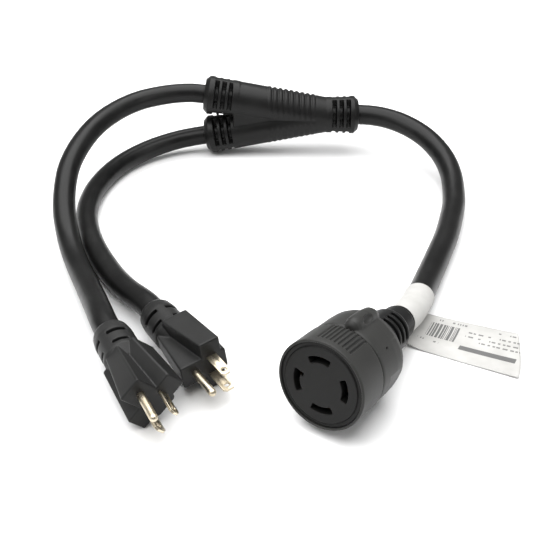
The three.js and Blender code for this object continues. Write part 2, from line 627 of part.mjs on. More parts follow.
function buildCords() {
  const bench = benchGroup();
  addPiece(bench, 'outer_leg_cord', cordBody(OUTER_LEG, LEG_OD), 'jacket');
  addPiece(bench, 'inner_leg_cord', cordBody(INNER_LEG, LEG_OD), 'jacket');
  addPiece(bench, 'trunk_cord', cordBody(TRUNK, TRUNK_OD), 'jacket');
  const fromReceptacle = routeCurve([...TRUNK].reverse());
  const rows = Array.from({ length: 5 }, (_, i) => labelRow(fromReceptacle, (LABEL.width * i) / 4));
  addPiece(bench, 'paper_label', sheet(rows, LABEL.thick), 'paper');
}

buildSplitter();
buildPlug('left', LEFT_PLUG);
buildPlug('right', RIGHT_PLUG);
buildReceptacle();
buildCords();

export default group;
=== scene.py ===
"""Looks for the Y-shaped generator adapter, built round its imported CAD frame."""
import math

import bmesh
import bpy
from mathutils import Matrix, Vector


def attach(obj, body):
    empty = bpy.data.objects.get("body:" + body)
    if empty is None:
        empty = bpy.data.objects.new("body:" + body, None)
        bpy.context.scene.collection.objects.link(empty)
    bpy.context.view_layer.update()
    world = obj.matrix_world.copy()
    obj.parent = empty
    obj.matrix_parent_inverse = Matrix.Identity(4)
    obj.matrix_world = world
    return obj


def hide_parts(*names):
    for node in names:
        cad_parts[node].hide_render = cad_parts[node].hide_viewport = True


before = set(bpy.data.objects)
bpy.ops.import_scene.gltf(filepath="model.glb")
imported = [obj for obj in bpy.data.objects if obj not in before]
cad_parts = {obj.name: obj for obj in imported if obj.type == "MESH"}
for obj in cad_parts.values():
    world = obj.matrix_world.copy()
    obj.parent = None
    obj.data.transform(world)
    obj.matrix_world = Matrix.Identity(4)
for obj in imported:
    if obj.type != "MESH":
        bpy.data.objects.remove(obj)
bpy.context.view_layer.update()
scene = bpy.context.scene

MM = 0.001
BENCH = Vector((-6.4, 516.1, 0))        # the bench point at the row frame's origin, in millimetres
LEG_OD, TRUNK_OD = 17.2, 18.4
BORE_GAP = 0.25                          # the room between a cord and its collar, all round
LEG_BORE, TRUNK_BORE = LEG_OD / 2 + BORE_GAP, TRUNK_OD / 2 + BORE_GAP


def bench(x, y, z):
    """A bench point in millimetres as a point of the row frame in metres."""
    return (Vector((x, y, z)) - BENCH) * MM


# ------------------------------------------------------------------ camera and light
CAMERA_HEIGHT = 0.325
CAMERA_DOWN = 33.0
camera_data = bpy.data.cameras.new("camera")
camera_data.sensor_width = 36.0
camera_data.lens = 54.03
camera_data.clip_start = 0.01
camera = bpy.data.objects.new("camera", camera_data)
scene.collection.objects.link(camera)
camera.location = bench(0, 0, 0) + Vector((0, 0, CAMERA_HEIGHT))
camera.rotation_euler = (math.radians(90 - CAMERA_DOWN), 0, 0)
scene.camera = camera


def area_light(name, place, aim, size, power):
    data = bpy.data.lights.new(name, "AREA")
    data.shape, data.size, data.size_y, data.energy = "RECTANGLE", size[0], size[1], power
    lamp = bpy.data.objects.new(name, data)
    lamp.location = place
    lamp.rotation_euler = (Vector(aim) - Vector(place)).to_track_quat("-Z", "Y").to_euler()
    scene.collection.objects.link(lamp)


area_light("overhead_softbox", (-0.1, 0.1, 1.15), (0, 0, 0), (1.9, 1.6), 42)
area_light("left_softbox", (-0.95, -0.45, 0.75), (0, 0, 0.02), (0.6, 0.8), 4)
area_light("right_softbox", (1.0, -0.2, 0.6), (0, 0, 0.02), (0.5, 0.8), 2.5)
world = bpy.data.worlds.new("studio")
world.use_nodes = True
world.node_tree.nodes["Background"].inputs["Color"].default_value = (1, 1, 1, 1)
world.node_tree.nodes["Background"].inputs["Strength"].default_value = 0.32
scene.world = world
scene.view_settings.view_transform = "Standard"


# ------------------------------------------------------------------ materials
def new_material(name, color, roughness, metallic=0.0, specular=0.5):
    """A material, its Principled shader, a helper that adds and wires nodes, and one that links them."""
    material = bpy.data.materials.new(name)
    material.use_nodes = True
    tree = material.node_tree
    shader = tree.nodes["Principled BSDF"]
    shader.inputs["Base Color"].default_value = (*color, 1)
    shader.inputs["Roughness"].default_value = roughness
    shader.inputs["Metallic"].default_value = metallic
    shader.inputs["Specular IOR Level"].default_value = specular

    def add(kind, inputs=None, **settings):
        node = tree.nodes.new(kind)
        for key, value in settings.items():
            setattr(node, key, value)
        for key, value in (inputs or {}).items():
            if isinstance(value, bpy.types.NodeSocket):
                tree.links.new(value, node.inputs[key])
            else:
                node.inputs[key].default_value = value
        return node

    return material, shader, add, tree.links.new


def noise(add, coords, scale, detail=4.0, rough=0.55):
    return add("ShaderNodeTexNoise", {
        "Vector": coords, "Scale": scale, "Detail": detail, "Roughness": rough})


def spread(add, value, low, high, start=0.3, end=0.7):
    """Maps a 0 to 1 value onto a range."""
    mapped = add("ShaderNodeMapRange", {
        "Value": value, "From Min": start, "From Max": end, "To Min": low, "To Max": high})
    return mapped.outputs["Result"]


def mix_color(add, factor, a, b):
    """The colour between two colours, or between a socket and a colour."""
    return add("ShaderNodeMix", {0: factor, 6: a, 7: b}, data_type="RGBA").outputs[2]


def moulded(name, color, roughness, grain=1600.0, grain_depth=0.00004, contrast=0.18, edge=0.5,
            specular=0.17):
    """Moulded vinyl or rubber: a fine grain, cloudy gloss, handling marks and paler worn edges."""
    material, shader, add, link = new_material(name, color, roughness, specular=specular)
    coords = add("ShaderNodeTexCoord").outputs["Object"]
    clouds = noise(add, coords, 45.0, 5.0)
    smudges = noise(add, coords, 12.0, 3.0)
    dust = noise(add, coords, 900.0, 2.0)
    dark = tuple(c * (1 - contrast) for c in color)
    pale = tuple(min(1.0, c * (1 + contrast) + 0.0006) for c in color)
    tone = mix_color(add, spread(add, clouds.outputs["Fac"], 0, 1), (*dark, 1), (*pale, 1))
    worn = add("ShaderNodeMapRange", {
        "Value": add("ShaderNodeNewGeometry").outputs["Pointiness"],
        "From Min": 0.52, "From Max": 0.6, "To Min": 0.0, "To Max": edge})
    edge_color = tuple(c * 2.0 + 0.004 for c in color)
    link(mix_color(add, worn.outputs["Result"], tone, (*edge_color, 1)), shader.inputs["Base Color"])
    gloss = add("ShaderNodeMath", {
        0: spread(add, clouds.outputs["Fac"], roughness - 0.05, roughness + 0.05),
        1: spread(add, smudges.outputs["Fac"], -0.05, 0.05)}, operation="ADD")
    link(gloss.outputs["Value"], shader.inputs["Roughness"])
    grains = noise(add, coords, grain, 3.0, 0.6)
    fine = add("ShaderNodeBump", {
        "Height": grains.outputs["Fac"], "Strength": 0.35, "Distance": grain_depth})
    specks = add("ShaderNodeBump", {
        "Height": dust.outputs["Fac"], "Strength": 0.12, "Distance": grain_depth,
        "Normal": fine.outputs["Normal"]})
    link(specks.outputs["Normal"], shader.inputs["Normal"])
    return material


def jacket(name):
    """Cord jacket: smooth black vinyl, with faint lengthwise flow lines and scuffs."""
    material, shader, add, link = new_material(name, (0.006, 0.006, 0.006), 0.34, specular=0.2)
    coords = add("ShaderNodeTexCoord").outputs["Object"]
    clouds = noise(add, coords, 60.0, 4.0)
    ripple = noise(add, coords, 140.0, 2.0)
    scuffs = noise(add, coords, 520.0, 6.0, 0.7)
    tone = mix_color(add, spread(add, clouds.outputs["Fac"], 0, 1), (0.003, 0.003, 0.003, 1),
                     (0.006, 0.006, 0.0058, 1))
    scuffed = spread(add, scuffs.outputs["Fac"], 0, 0.4, 0.62, 0.75)
    link(mix_color(add, scuffed, tone, (0.018, 0.018, 0.0175, 1)), shader.inputs["Base Color"])
    link(spread(add, clouds.outputs["Fac"], 0.29, 0.4), shader.inputs["Roughness"])
    soft = add("ShaderNodeBump", {"Height": ripple.outputs["Fac"], "Strength": 0.25, "Distance": 0.0002})
    fine = add("ShaderNodeBump", {
        "Height": scuffs.outputs["Fac"], "Strength": 0.15, "Distance": 0.00003,
        "Normal": soft.outputs["Normal"]})
    link(fine.outputs["Normal"], shader.inputs["Normal"])
    return material


def metal(name, color, roughness, tarnish):
    """Plated or bare metal: drawn streaks along the piece, cloudy tarnish and small scratches."""
    material, shader, add, link = new_material(name, color, roughness, 1.0)
    coords = add("ShaderNodeTexCoord").outputs["Object"]
    clouds = noise(add, coords, 120.0, 5.0)
    scratches = noise(add, coords, 1400.0, 6.0, 0.75)
    dulled = spread(add, clouds.outputs["Fac"], 0, 0.75, 0.35, 0.75)
    link(mix_color(add, dulled, (*color, 1), (*tarnish, 1)), shader.inputs["Base Color"])
    link(spread(add, clouds.outputs["Fac"], roughness - 0.06, roughness + 0.12), shader.inputs["Roughness"])
    bump = add("ShaderNodeBump", {"Height": scratches.outputs["Fac"], "Strength": 0.2, "Distance": 0.00003})
    link(bump.outputs["Normal"], shader.inputs["Normal"])
    return material


OVERMOULD = moulded("overmould", (0.0065, 0.0065, 0.0063), 0.38)
PLUG_SKIN = moulded("plug_overmould", (0.013, 0.013, 0.0127), 0.44, specular=0.22)
SHELL = moulded("receptacle_shell", (0.020, 0.020, 0.0188), 0.48, 2200.0, 0.00006, 0.12, specular=0.26)
FACE = moulded("receptacle_face", (0.0065, 0.0065, 0.0062), 0.42, 1800.0, 0.00003, 0.15)
BOOT = moulded("boot", (0.0065, 0.0065, 0.0065), 0.40)
INNER = moulded("inner_plastic", (0.018, 0.018, 0.018), 0.6, 900.0, 0.00005, 0.2, 0.2)
JACKET = jacket("cord_jacket")
PLATED = metal("plated_metal", (0.62, 0.56, 0.44), 0.28, (0.40, 0.33, 0.22))
# contact brass, darker than bare brass as painted shade for the deep insides of the face's slots, with
# tarnish clouding on top
CONTACT = metal("contact_metal", (0.30, 0.20, 0.11), 0.42, (0.12, 0.08, 0.05))


# ------------------------------------------------------------------ mesh making, in millimetres
def turned(profile, sides=160):
    """A profile of (radius, z) pairs turned about Z; it starts and ends on the axis or closes on itself."""
    closed = profile[0] == profile[-1]
    points = profile[:-1] if closed else profile
    mesh = bmesh.new()
    rings = []
    for r, z in points:
        if r < 1e-6:
            rings.append([mesh.verts.new((0, 0, z))])
        else:
            rings.append([mesh.verts.new((r * math.cos(2 * math.pi * i / sides),
                                          r * math.sin(2 * math.pi * i / sides), z)) for i in range(sides)])
    pairs = list(zip(rings, rings[1:])) + ([(rings[-1], rings[0])] if closed else [])
    for a, b in pairs:
        for i in range(sides):
            j = (i + 1) % sides
            corners = [a[i % len(a)], a[j % len(a)], b[j % len(b)], b[i % len(b)]]
            unique = list(dict.fromkeys(corners))
            if len(unique) > 2:
                mesh.faces.new(unique)
    return mesh


def loft(rings):
    """A closed skin over rings that have the same number of points."""
    mesh = bmesh.new()
    grid = [[mesh.verts.new(p) for p in ring] for ring in rings]
    count = len(grid[0])
    for a, b in zip(grid, grid[1:]):
        for i in range(count):
            j = (i + 1) % count
            mesh.faces.new((a[i], a[j], b[j], b[i]))
    mesh.faces.new(list(reversed(grid[0])))
    mesh.faces.new(grid[-1])
    return mesh


def prism(outline, low, high):
    return loft([[(x, y, z) for x, y in outline] for z in (low, high)])


def sector(inner, outer, start, end, low, high):
    """Part of a ring between two angles in degrees."""
    steps = max(3, round((end - start) / 4))
    angles = [math.radians(start + (end - start) * i / steps) for i in range(steps + 1)]
    arc = [(outer * math.cos(a), outer * math.sin(a)) for a in angles]
    back = [(inner * math.cos(a), inner * math.sin(a)) for a in reversed(angles)]
    return prism(arc + back, low, high)


def panel(half_x, low_y, high_y, z, corner, steps=4):
    """A rectangle with rounded corners at one z."""
    ring = []
    corners = [(half_x - corner, high_y - corner, 0), (-half_x + corner, high_y - corner, 90),
               (-half_x + corner, low_y + corner, 180), (half_x - corner, low_y + corner, 270)]
    for x, y, start in corners:
        for i in range(steps + 1):
            angle = math.radians(start + 90 * i / steps)
            ring.append((x + corner * math.cos(angle), y + corner * math.sin(angle), z))
    return ring


def moved(mesh, matrix):
    mesh.transform(matrix)
    return mesh


def along_x(mesh, x, y, z):
    """Turns a body built along Z so that it lies along +X from a point."""
    return moved(mesh, Matrix.Translation((x, y, z)) @ Matrix.Rotation(math.radians(90), 4, "Y"))


def object_of(meshes, name="scratch"):
    """One Blender object from several bmesh bodies, in millimetres, with faces turned outwards."""
    data = bpy.data.meshes.new(name)
    whole = bmesh.new()
    for mesh in meshes:
        bmesh.ops.recalc_face_normals(mesh, faces=mesh.faces)
        part = bpy.data.meshes.new("part")
        mesh.to_mesh(part)
        mesh.free()
        whole.from_mesh(part)
        bpy.data.meshes.remove(part)
    whole.to_mesh(data)
    whole.free()
    thing = bpy.data.objects.new(name, data)
    scene.collection.objects.link(thing)
    return thing


def settle(thing):
    """Applies the object's modifiers."""
    bpy.context.view_layer.update()
    graph = bpy.context.evaluated_depsgraph_get()
    data = bpy.data.meshes.new_from_object(thing.evaluated_get(graph))
    thing.modifiers.clear()
    old = thing.data
    thing.data = data
    bpy.data.meshes.remove(old)


def discard(*things):
    for thing in things:
        data = thing.data
        bpy.data.objects.remove(thing)
        bpy.data.meshes.remove(data)


def carve(body, cutters):
    """Cuts separate closed bodies, which don't touch each other, out of a body."""
    base, tool = object_of([body]), object_of(cutters)
    cutting = base.modifiers.new("cut", "BOOLEAN")
    cutting.operation, cutting.object, cutting.solver = "DIFFERENCE", tool, "EXACT"
    settle(base)
    result = bmesh.new()
    result.from_mesh(base.data)
    discard(base, tool)
    return result


def mould(name, meshes, voxel, rounds, keep, material, nodes, matrix):
    """Fuses overlapping bodies into one skin with soft moulded edges, and stands it for CAD nodes."""
    piece = object_of(meshes, name)
    remesh = piece.modifiers.new("fuse", "REMESH")
    remesh.mode, remesh.voxel_size, remesh.use_smooth_shade = "VOXEL", voxel, True
    smooth = piece.modifiers.new("soften", "SMOOTH")
    smooth.factor, smooth.iterations = 0.5, rounds
    thin = piece.modifiers.new("thin", "DECIMATE")
    thin.ratio = keep
    settle(piece)
    adopt(piece, material, nodes, matrix)


def adopt(piece, material, nodes, matrix):
    """Scales a finished piece to metres in its place, and gives it its finish, its body and its nodes."""
    piece.data.transform(Matrix.Scale(MM, 4) @ matrix)
    for polygon in piece.data.polygons:
        polygon.use_smooth = True
    piece.data.materials.clear()
    piece.data.materials.append(material)
    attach(piece, "root")
    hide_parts(*nodes)
    return piece


TO_ROW = Matrix.Translation(-BENCH)


def end_matrix(at, heading, roll, pitch=0.0):
    """The matrix of an end whose +Z looks out of its face, tipped up by the pitch."""
    h, p = math.radians(heading), math.radians(pitch)
    out = Vector((math.cos(p) * math.cos(h), math.cos(p) * math.sin(h), math.sin(p)))
    side = Vector((-math.sin(h), math.cos(h), 0))
    up = out.cross(side)
    turn = Matrix((side, up, out)).transposed().to_4x4()
    return TO_ROW @ Matrix.Translation(at) @ turn @ Matrix.Rotation(math.radians(roll), 4, "Z")


# ------------------------------------------------------------------ the moulded splitter
MID_Y = 704
ARM_START, WEB_START, WEB_END, NECK_END = -57, -30, 57, 85
LOW_Z, HIGH_Z, NECK_Z, TILT = 17, 57, 37, 8.5
WEB_LOW, WEB_HIGH = 21, 53
ARM_R, NECK_R, COLLAR_R, END_R = 16.5, 16.0, 17.4, 14.2
RIB_FROM, RIB_TO, RIB_PITCH, RIB_DEPTH = 0.5, 46.0, 5.05, 1.15
VALLEY = 0.17                            # how far the web sinks between its tubes, a share of their radius
COLLAR_SLOT_WIDTH, COLLAR_SLOT_PITCH, COLLAR_SLOT_FLOOR = 3.8, 6.4, 9.4
COLLAR_SLOT_MIDDLES, COLLAR_SLOT_HALF_SPAN = (4, 124, 244), 48.5
LEG_COLLAR, TRUNK_COLLAR = (31, 8.9), (29, 7.7)     # each collar's length, and where its first slot starts


def web_side(z, low, high, radius):
    """Half the web's thickness at one height between its two tubes."""
    away = min(abs(high - z), abs(z - low))
    sunk = radius * (1 - VALLEY * min(1.0, (high - low) / 18))
    return max(math.sqrt(max(0.0, radius * radius - away * away)), sunk)


def web_ring(x):
    """The web's section at one x: two tubes, a sunk web between them, and ribs fading from the top."""
    opening = max(0.0, 1 - (x - WEB_START) / (WEB_END - WEB_START))
    radius = NECK_R + (ARM_R - NECK_R) * min(1.0, opening)
    low = NECK_Z - (NECK_Z - WEB_LOW) * opening
    high = NECK_Z + (WEB_HIGH - NECK_Z) * opening
    middle = (low + high) / 2
    rib = 0.0
    if RIB_FROM < x < RIB_TO:
        wave = math.sin(math.pi * (((x - RIB_FROM) / RIB_PITCH) % 1.0))
        fade = min(1.0, (x - RIB_FROM) / 2, (RIB_TO - x) / 2)
        rib = RIB_DEPTH * fade * (max(0.0, min(1.0, 2.2 * wave - 0.75)) - 0.5)
    half = []
    for i in range(31):
        angle = math.radians(90 - 3 * i)
        half.append(((radius + rib) * math.cos(angle), high + (radius + rib) * math.sin(angle)))
    for i in range(1, 24):
        z = high + (low - high) * i / 24
        near = abs(z - middle) / max(0.1, high - middle)
        share = max(0.0, (near - 0.15) / 0.85) if z > middle else 0.4 * max(0.0, (near - 0.6) / 0.4)
        half.append((web_side(z, low, high, radius) + rib * share, z))
    for i in range(31):
        angle = math.radians(-3 * i)
        half.append(((radius + 0.4 * rib) * math.cos(angle), low + (radius + 0.4 * rib) * math.sin(angle)))
    ring = [(x, MID_Y + y, z) for y, z in half]
    return ring + [(x, MID_Y - y, z) for y, z in reversed(half[1:-1])]


def splitter_collar(inward, length, first, bore):
    """A slotted collar running along Z from its end face, with a shallow seat for the cord."""
    profile = [(0, 3.5), (bore, 3.5), (bore, 0), (END_R - 0.6, 0), (END_R, 0.5), (COLLAR_R, 4.0)]
    profile += [(COLLAR_R, 8.0), (COLLAR_R - 0.3, 11), (ARM_R, length), (0, length)]
    body = turned([(r, d * inward) for r, d in profile])
    slots = []
    for row in range(3):
        start = first + COLLAR_SLOT_PITCH * row
        near, far = sorted((inward * start, inward * (start + COLLAR_SLOT_WIDTH)))
        for middle in COLLAR_SLOT_MIDDLES:
            slots.append(sector(COLLAR_SLOT_FLOOR, COLLAR_R + 3, middle - COLLAR_SLOT_HALF_SPAN,
                                middle + COLLAR_SLOT_HALF_SPAN, near, far))
    return carve(body, slots)


def in_arm(mesh, z, tilt):
    """Lays a body built along Z along an arm, from the middle of the arm's end face."""
    place = Matrix.Translation((ARM_START, MID_Y, z)) @ Matrix.Rotation(math.radians(90 + tilt), 4, "Y")
    return moved(mesh, place)


def build_splitter():
    count = 190
    stations = [WEB_START - 0.5 + (WEB_END + 1.5 - WEB_START) * i / count for i in range(count + 1)]
    parts = [loft([web_ring(x) for x in stations])]
    parts.append(in_arm(splitter_collar(1, *LEG_COLLAR, LEG_BORE), LOW_Z, -TILT))
    parts.append(in_arm(splitter_collar(1, *LEG_COLLAR, LEG_BORE), HIGH_Z, TILT))
    parts.append(along_x(splitter_collar(-1, *TRUNK_COLLAR, TRUNK_BORE), NECK_END, MID_Y, NECK_Z))
    mould("splitter_skin", parts, 0.45, 3, 0.45, OVERMOULD,
          ["splitter_overmould"], TO_ROW)


# ------------------------------------------------------------------ a three-pin plug
PLUG_LENGTH, PLUG_COLLAR, PLUG_COLLAR_R, PLUG_COLLAR_Y = 40.0, 26.0, 12.4, 6.5
BLADE_X, BLADE_OUT = 6.35, 18.6
BLADE_ROOT, BLADE_HALF_THICK, BLADE_HOLE_R = -24, 0.75, 1.6
PIN_Y, PIN_R, PIN_OUT, PIN_ROOT = 11.9, 2.4, 22.4, -20
PLUG_SLOT_FLOOR = PLUG_COLLAR_R - 4.2
PLUG_SLOTS = ((20, 70, -44.2, -41.8), (11, 73, -54.4, -51.6))      # each row's two angles and two heights


def plug_skin(side, matrix):
    body = loft([
        panel(13.4, -4.5, 11.4, -40, 1.4), panel(14.3, -5.3, 12.2, -38.8, 1.2),
        panel(18, -7, 6.3, -0.6, 1.2), panel(17.4, -6.4, 5.7, 0, 1.0)])
    ridge = loft([
        panel(5.0, 0, 16.7, -40.6, 1.2), panel(5.6, 0, 17.5, -39.2, 1.2),
        panel(7.7, 0, 20.7, -0.6, 1.2), panel(7.1, 0, 20.1, 0, 1.0)])
    bulge = loft([
        panel(5, -4.2, 0, -38, 1.5), panel(8, -9.6, 0, -20, 2.4), panel(8, -9.6, 0, -0.6, 2.4),
        panel(7.4, -9.0, 0, 0, 2.2)])
    end = -PLUG_LENGTH - PLUG_COLLAR
    collar = turned([
        (0, end + 3.5), (LEG_BORE, end + 3.5), (LEG_BORE, end), (PLUG_COLLAR_R - 2.9, end),
        (PLUG_COLLAR_R - 2.1, end + 0.5), (PLUG_COLLAR_R - 0.8, end + 3), (PLUG_COLLAR_R, end + 9),
        (PLUG_COLLAR_R, -39), (8.4, -32), (0, -32)])
    slots = []
    for quarter in range(4):
        turn = 90 * quarter
        for start, stop, low, high in PLUG_SLOTS:
            slots.append(sector(PLUG_SLOT_FLOOR, 16, turn + start, turn + stop, low, high))
    neck = moved(carve(collar, slots), Matrix.Translation((0, PLUG_COLLAR_Y, 0)))
    mould(f"{side}_plug_skin", [body, ridge, bulge, neck], 0.38, 2, 0.4, PLUG_SKIN,
          [f"{side}_plug_overmould"], matrix)


def rounded_blade(name, x, width, matrix, node):
    """A flat blade with softened edges, a cut tip and a round hole."""
    half, bevel = width / 2, 1.7
    outline = [(-half, BLADE_ROOT), (half, BLADE_ROOT), (half, BLADE_OUT - bevel),
               (half - bevel, BLADE_OUT), (bevel - half, BLADE_OUT), (-half, BLADE_OUT - bevel)]
    flat = prism(outline, -BLADE_HALF_THICK, BLADE_HALF_THICK)
    hole = moved(turned([(0, -3), (BLADE_HOLE_R, -3), (BLADE_HOLE_R, 3), (0, 3)], 48),
                 Matrix.Translation((0, BLADE_OUT - 4.2, 0)))
    piece = object_of([carve(flat, [hole])], name)
    edge = piece.modifiers.new("edge", "BEVEL")
    edge.width, edge.segments, edge.limit_method, edge.angle_limit = 0.22, 3, "ANGLE", math.radians(40)
    settle(piece)
    upright = Matrix(((0, 0, 1, 0), (1, 0, 0, 0), (0, 1, 0, 0), (0, 0, 0, 1)))
    adopt(piece, PLATED, [node], matrix @ Matrix.Translation((x, 0, 0)) @ upright)
    sharpen(piece)


def sharpen(piece):
    """Keeps a smooth-shaded piece's flat faces flat beside their rounded edges."""
    piece.data.set_sharp_from_angle(angle=math.radians(35))


def ground_pin(name, matrix, node):
    nose = [(PIN_R * math.cos(math.radians(a)), PIN_OUT - 2.6 + 2.6 * math.sin(math.radians(a)))
            for a in range(0, 90, 9)]
    profile = [(0, PIN_ROOT), (PIN_R, PIN_ROOT), (PIN_R, PIN_OUT - 3)] + nose + [(0, PIN_OUT)]
    piece = object_of([turned(profile, 64)], name)
    adopt(piece, PLATED, [node], matrix @ Matrix.Translation((0, PIN_Y, 0)))
    sharpen(piece)


def build_plug(side, at, heading, roll):
    matrix = end_matrix(at, heading, roll)
    plug_skin(side, matrix)
    rounded_blade(f"{side}_plug_line", BLADE_X, 6.35, matrix, f"{side}_plug_line_blade")
    rounded_blade(f"{side}_plug_neutral", -BLADE_X, 7.9, matrix, f"{side}_plug_neutral_blade")
    ground_pin(f"{side}_plug_ground", matrix, f"{side}_plug_ground_pin")


# ------------------------------------------------------------------ the locking receptacle
FACE_R, RING_R = 25.75, 22.8
SLOT_IN, SLOT_OUT, SLOT_SPAN, SLOT_TURN = 13.5, 17.45, 49, 10.5
GROUND_SLOT = 2
GRIP_GROOVES, GRIP_START, GRIP_PITCH, GRIP_HALF_SPAN = 9, 62, 5.5, 1.6
BOOT_SLOT_Z, BOOT_SLOT_PITCH, BOOT_SLOT_WIDTH, BOOT_SLOT_HALF_SPAN = -68.8, 5.25, 2.8, 42


def face_slots():
    """Four curved slots; the ground slot has a hook inwards at its end."""
    slots = []
    for index in range(4):
        middle = SLOT_TURN + 90 * index
        slots.append(sector(SLOT_IN, SLOT_OUT, middle - SLOT_SPAN / 2, middle + SLOT_SPAN / 2, -9, 2))
        if index == GROUND_SLOT:
            slots.append(sector(11.4, SLOT_IN - 0.01, 165.9, 177, -9, 2))
    return slots


def build_face(matrix):
    low_ring = [(FACE_R, -6.8), (FACE_R, -1.35), (FACE_R - 0.25, -1.15), (RING_R + 1.3, -1.15)]
    groove = [(RING_R + 1.0, -1.45), (RING_R + 0.5, -1.45), (RING_R + 0.2, -0.6), (RING_R - 0.1, -0.5)]
    body = turned([(0, -6.8)] + low_ring + groove + [(0, -0.5)])
    for slot in face_slots():
        body = carve(body, [slot])
    mould("receptacle_face_skin", [body], 0.3, 2, 0.3, FACE, ["receptacle_face"], matrix)


def build_sleeve(matrix):
    body = turned([
        (25.8, -22.4), (26.9, -22.4), (27.4, -21.8), (27.4, -0.7), (27.2, -0.2), (26.8, 0), (26.0, 0),
        (25.8, -0.2), (25.8, -22.4)], 256)
    grooves = []
    for i in range(GRIP_GROOVES):
        middle = GRIP_START + GRIP_PITCH * i
        grooves.append(sector(26.45, 30, middle - GRIP_HALF_SPAN, middle + GRIP_HALF_SPAN, -22.6, -4.6))
    mould("receptacle_sleeve_skin", [carve(body, grooves)], 0.33, 2, 0.35, SHELL,
          ["receptacle_front_sleeve"], matrix)


def boss_ring(z, low, high, half):
    """The screw boss's section: a tall round-topped bar."""
    ring = []
    for i in range(40):
        angle = 2 * math.pi * i / 40
        x, y = half * math.cos(angle), math.sin(angle)
        ring.append((x, high - half + half * y if y > 0 else low, z))
    return ring


def build_shell(matrix):
    body = turned([
        (24.45, -23.2), (26.1, -23.2), (26.8, -24.0), (27, -25.5), (27, -40), (26.6, -46), (25.6, -49.5),
        (23.6, -51.6), (22.5, -52.3), (21.5, -52.4), (14.7, -52.4), (14.7, -50), (19, -50), (23.3, -44),
        (24.45, -38), (24.45, -23.2)], 256)
    hole = moved(loft([panel(0.7, 20, 40, z, 0.3) for z in (-35.0, -33.4)]),
                 Matrix.Rotation(math.radians(-50), 4, "Z"))
    flat = moved(prism([(-13, -40), (13, -40), (13, -25.5), (-13, -25.5)], -54, -32),
                 Matrix.Rotation(math.radians(76), 4, "Z"))
    shell = carve(carve(body, [hole]), [flat])
    boss = loft([
        boss_ring(-51, 21, 28.2, 4.4), boss_ring(-47, 22.5, 30.4, 5.1), boss_ring(-40, 24.8, 31.7, 5.4),
        boss_ring(-31, 24.8, 32.1, 5.4), boss_ring(-27.5, 24.8, 31.9, 5.1), boss_ring(-25.2, 24.8, 31, 4.3),
        boss_ring(-24, 24.8, 29.6, 3.2), boss_ring(-23.4, 24.8, 28.4, 2.2)])
    scoop = bmesh.new()
    bmesh.ops.create_uvsphere(scoop, u_segments=48, v_segments=24, radius=1)
    moved(scoop, Matrix.Translation((5.2, 30.2, -36)) @ Matrix.Diagonal((3.2, 2.8, 6.0, 1)))
    boss = moved(carve(boss, [scoop]), Matrix.Rotation(math.radians(-3), 4, "Z"))
    mould("receptacle_shell_skin", [shell, boss], 0.38, 3, 0.35, SHELL,
          ["receptacle_rear_shell"], matrix)


def build_boot(matrix):
    body = turned([
        (0, -91.5), (TRUNK_BORE, -91.5), (TRUNK_BORE, -95), (10.4, -95), (11.1, -94.6), (11.4, -93.6),
        (11.5, -84.6), (12.0, -83.6), (13.4, -82.6), (14.2, -81), (14.4, -66), (14.4, -46), (0, -46)])
    slots = []
    for row in range(3):
        z = BOOT_SLOT_Z - BOOT_SLOT_PITCH * row
        for middle in (44, 224):
            slots.append(sector(8.6, 18, middle - BOOT_SLOT_HALF_SPAN, middle + BOOT_SLOT_HALF_SPAN,
                                z, z + BOOT_SLOT_WIDTH))
    mould("receptacle_boot_skin", [carve(body, slots)], 0.33, 2, 0.4, BOOT,
          ["receptacle_boot"], matrix)


def build_receptacle():
    matrix = end_matrix((29, 330, 33.1), 234.3, 0, 8.3)
    build_face(matrix)
    build_sleeve(matrix)
    build_shell(matrix)
    build_boot(matrix)


# ------------------------------------------------------------------ cords
CORD_SEAT = 3.6                          # how far a cord's end reaches into its collar

OUTER_LEG = [
    (-58.2, 704, 57.2), (-68, 703, 58.5), (-82, 699.8, 59.2), (-98, 692.6, 59.5), (-114, 681, 59.5),
    (-130, 661.5, 58.5), (-144, 636, 55.5), (-153, 608, 50.5), (-158, 581, 43), (-158, 558, 34),
    (-155, 537, 25), (-149, 517, 17.5), (-142.7, 500.1, 14), (-134.8, 481.5, 12.6), (-124.8, 458.3, 14),
    (-115.5, 435.8, 17), (-106.4, 413, 20.6), (-101.8, 401.8, 21.6), (-96.97, 392.23, 21.69)]
INNER_LEG = [
    (-58.2, 704, 16.8), (-68, 702.9, 15.6), (-82, 699.2, 14.1), (-99, 690.3, 12.4), (-115, 677.5, 10.7),
    (-130, 657, 9.6), (-140, 633, 9), (-145.5, 607, 8.8), (-146.5, 583, 8.8), (-144.5, 562, 8.8),
    (-139.5, 541, 8.8), (-132.5, 521, 8.8), (-124, 502, 8.8), (-114.1, 482.8, 9.4), (-104, 464.4, 11.2),
    (-92.5, 446.5, 14), (-84.5, 435.8, 16.2), (-78.2, 427.3, 17.5), (-72.94, 418.92, 17.83)]
TRUNK = [
    (86.4, 704, 37), (96.5, 702.6, 36.9), (109, 698.9, 36.2), (122.5, 691.6, 34.5), (134.5, 681.2, 32),
    (144.5, 668.4, 28.8), (152, 653.5, 25), (156.8, 637, 21), (158.4, 619, 17), (157, 599, 13.5),
    (153, 576, 10.8), (146, 552, 9.6), (138, 528, 9.5), (129.4, 506.6, 9.5), (121.5, 487.5, 9.6),
    (112, 464.5, 10.4), (103.7, 444, 12.4), (96.9, 428.3, 15), (90.7, 416.2, 17.5), (84.45, 407.15, 19.24)]


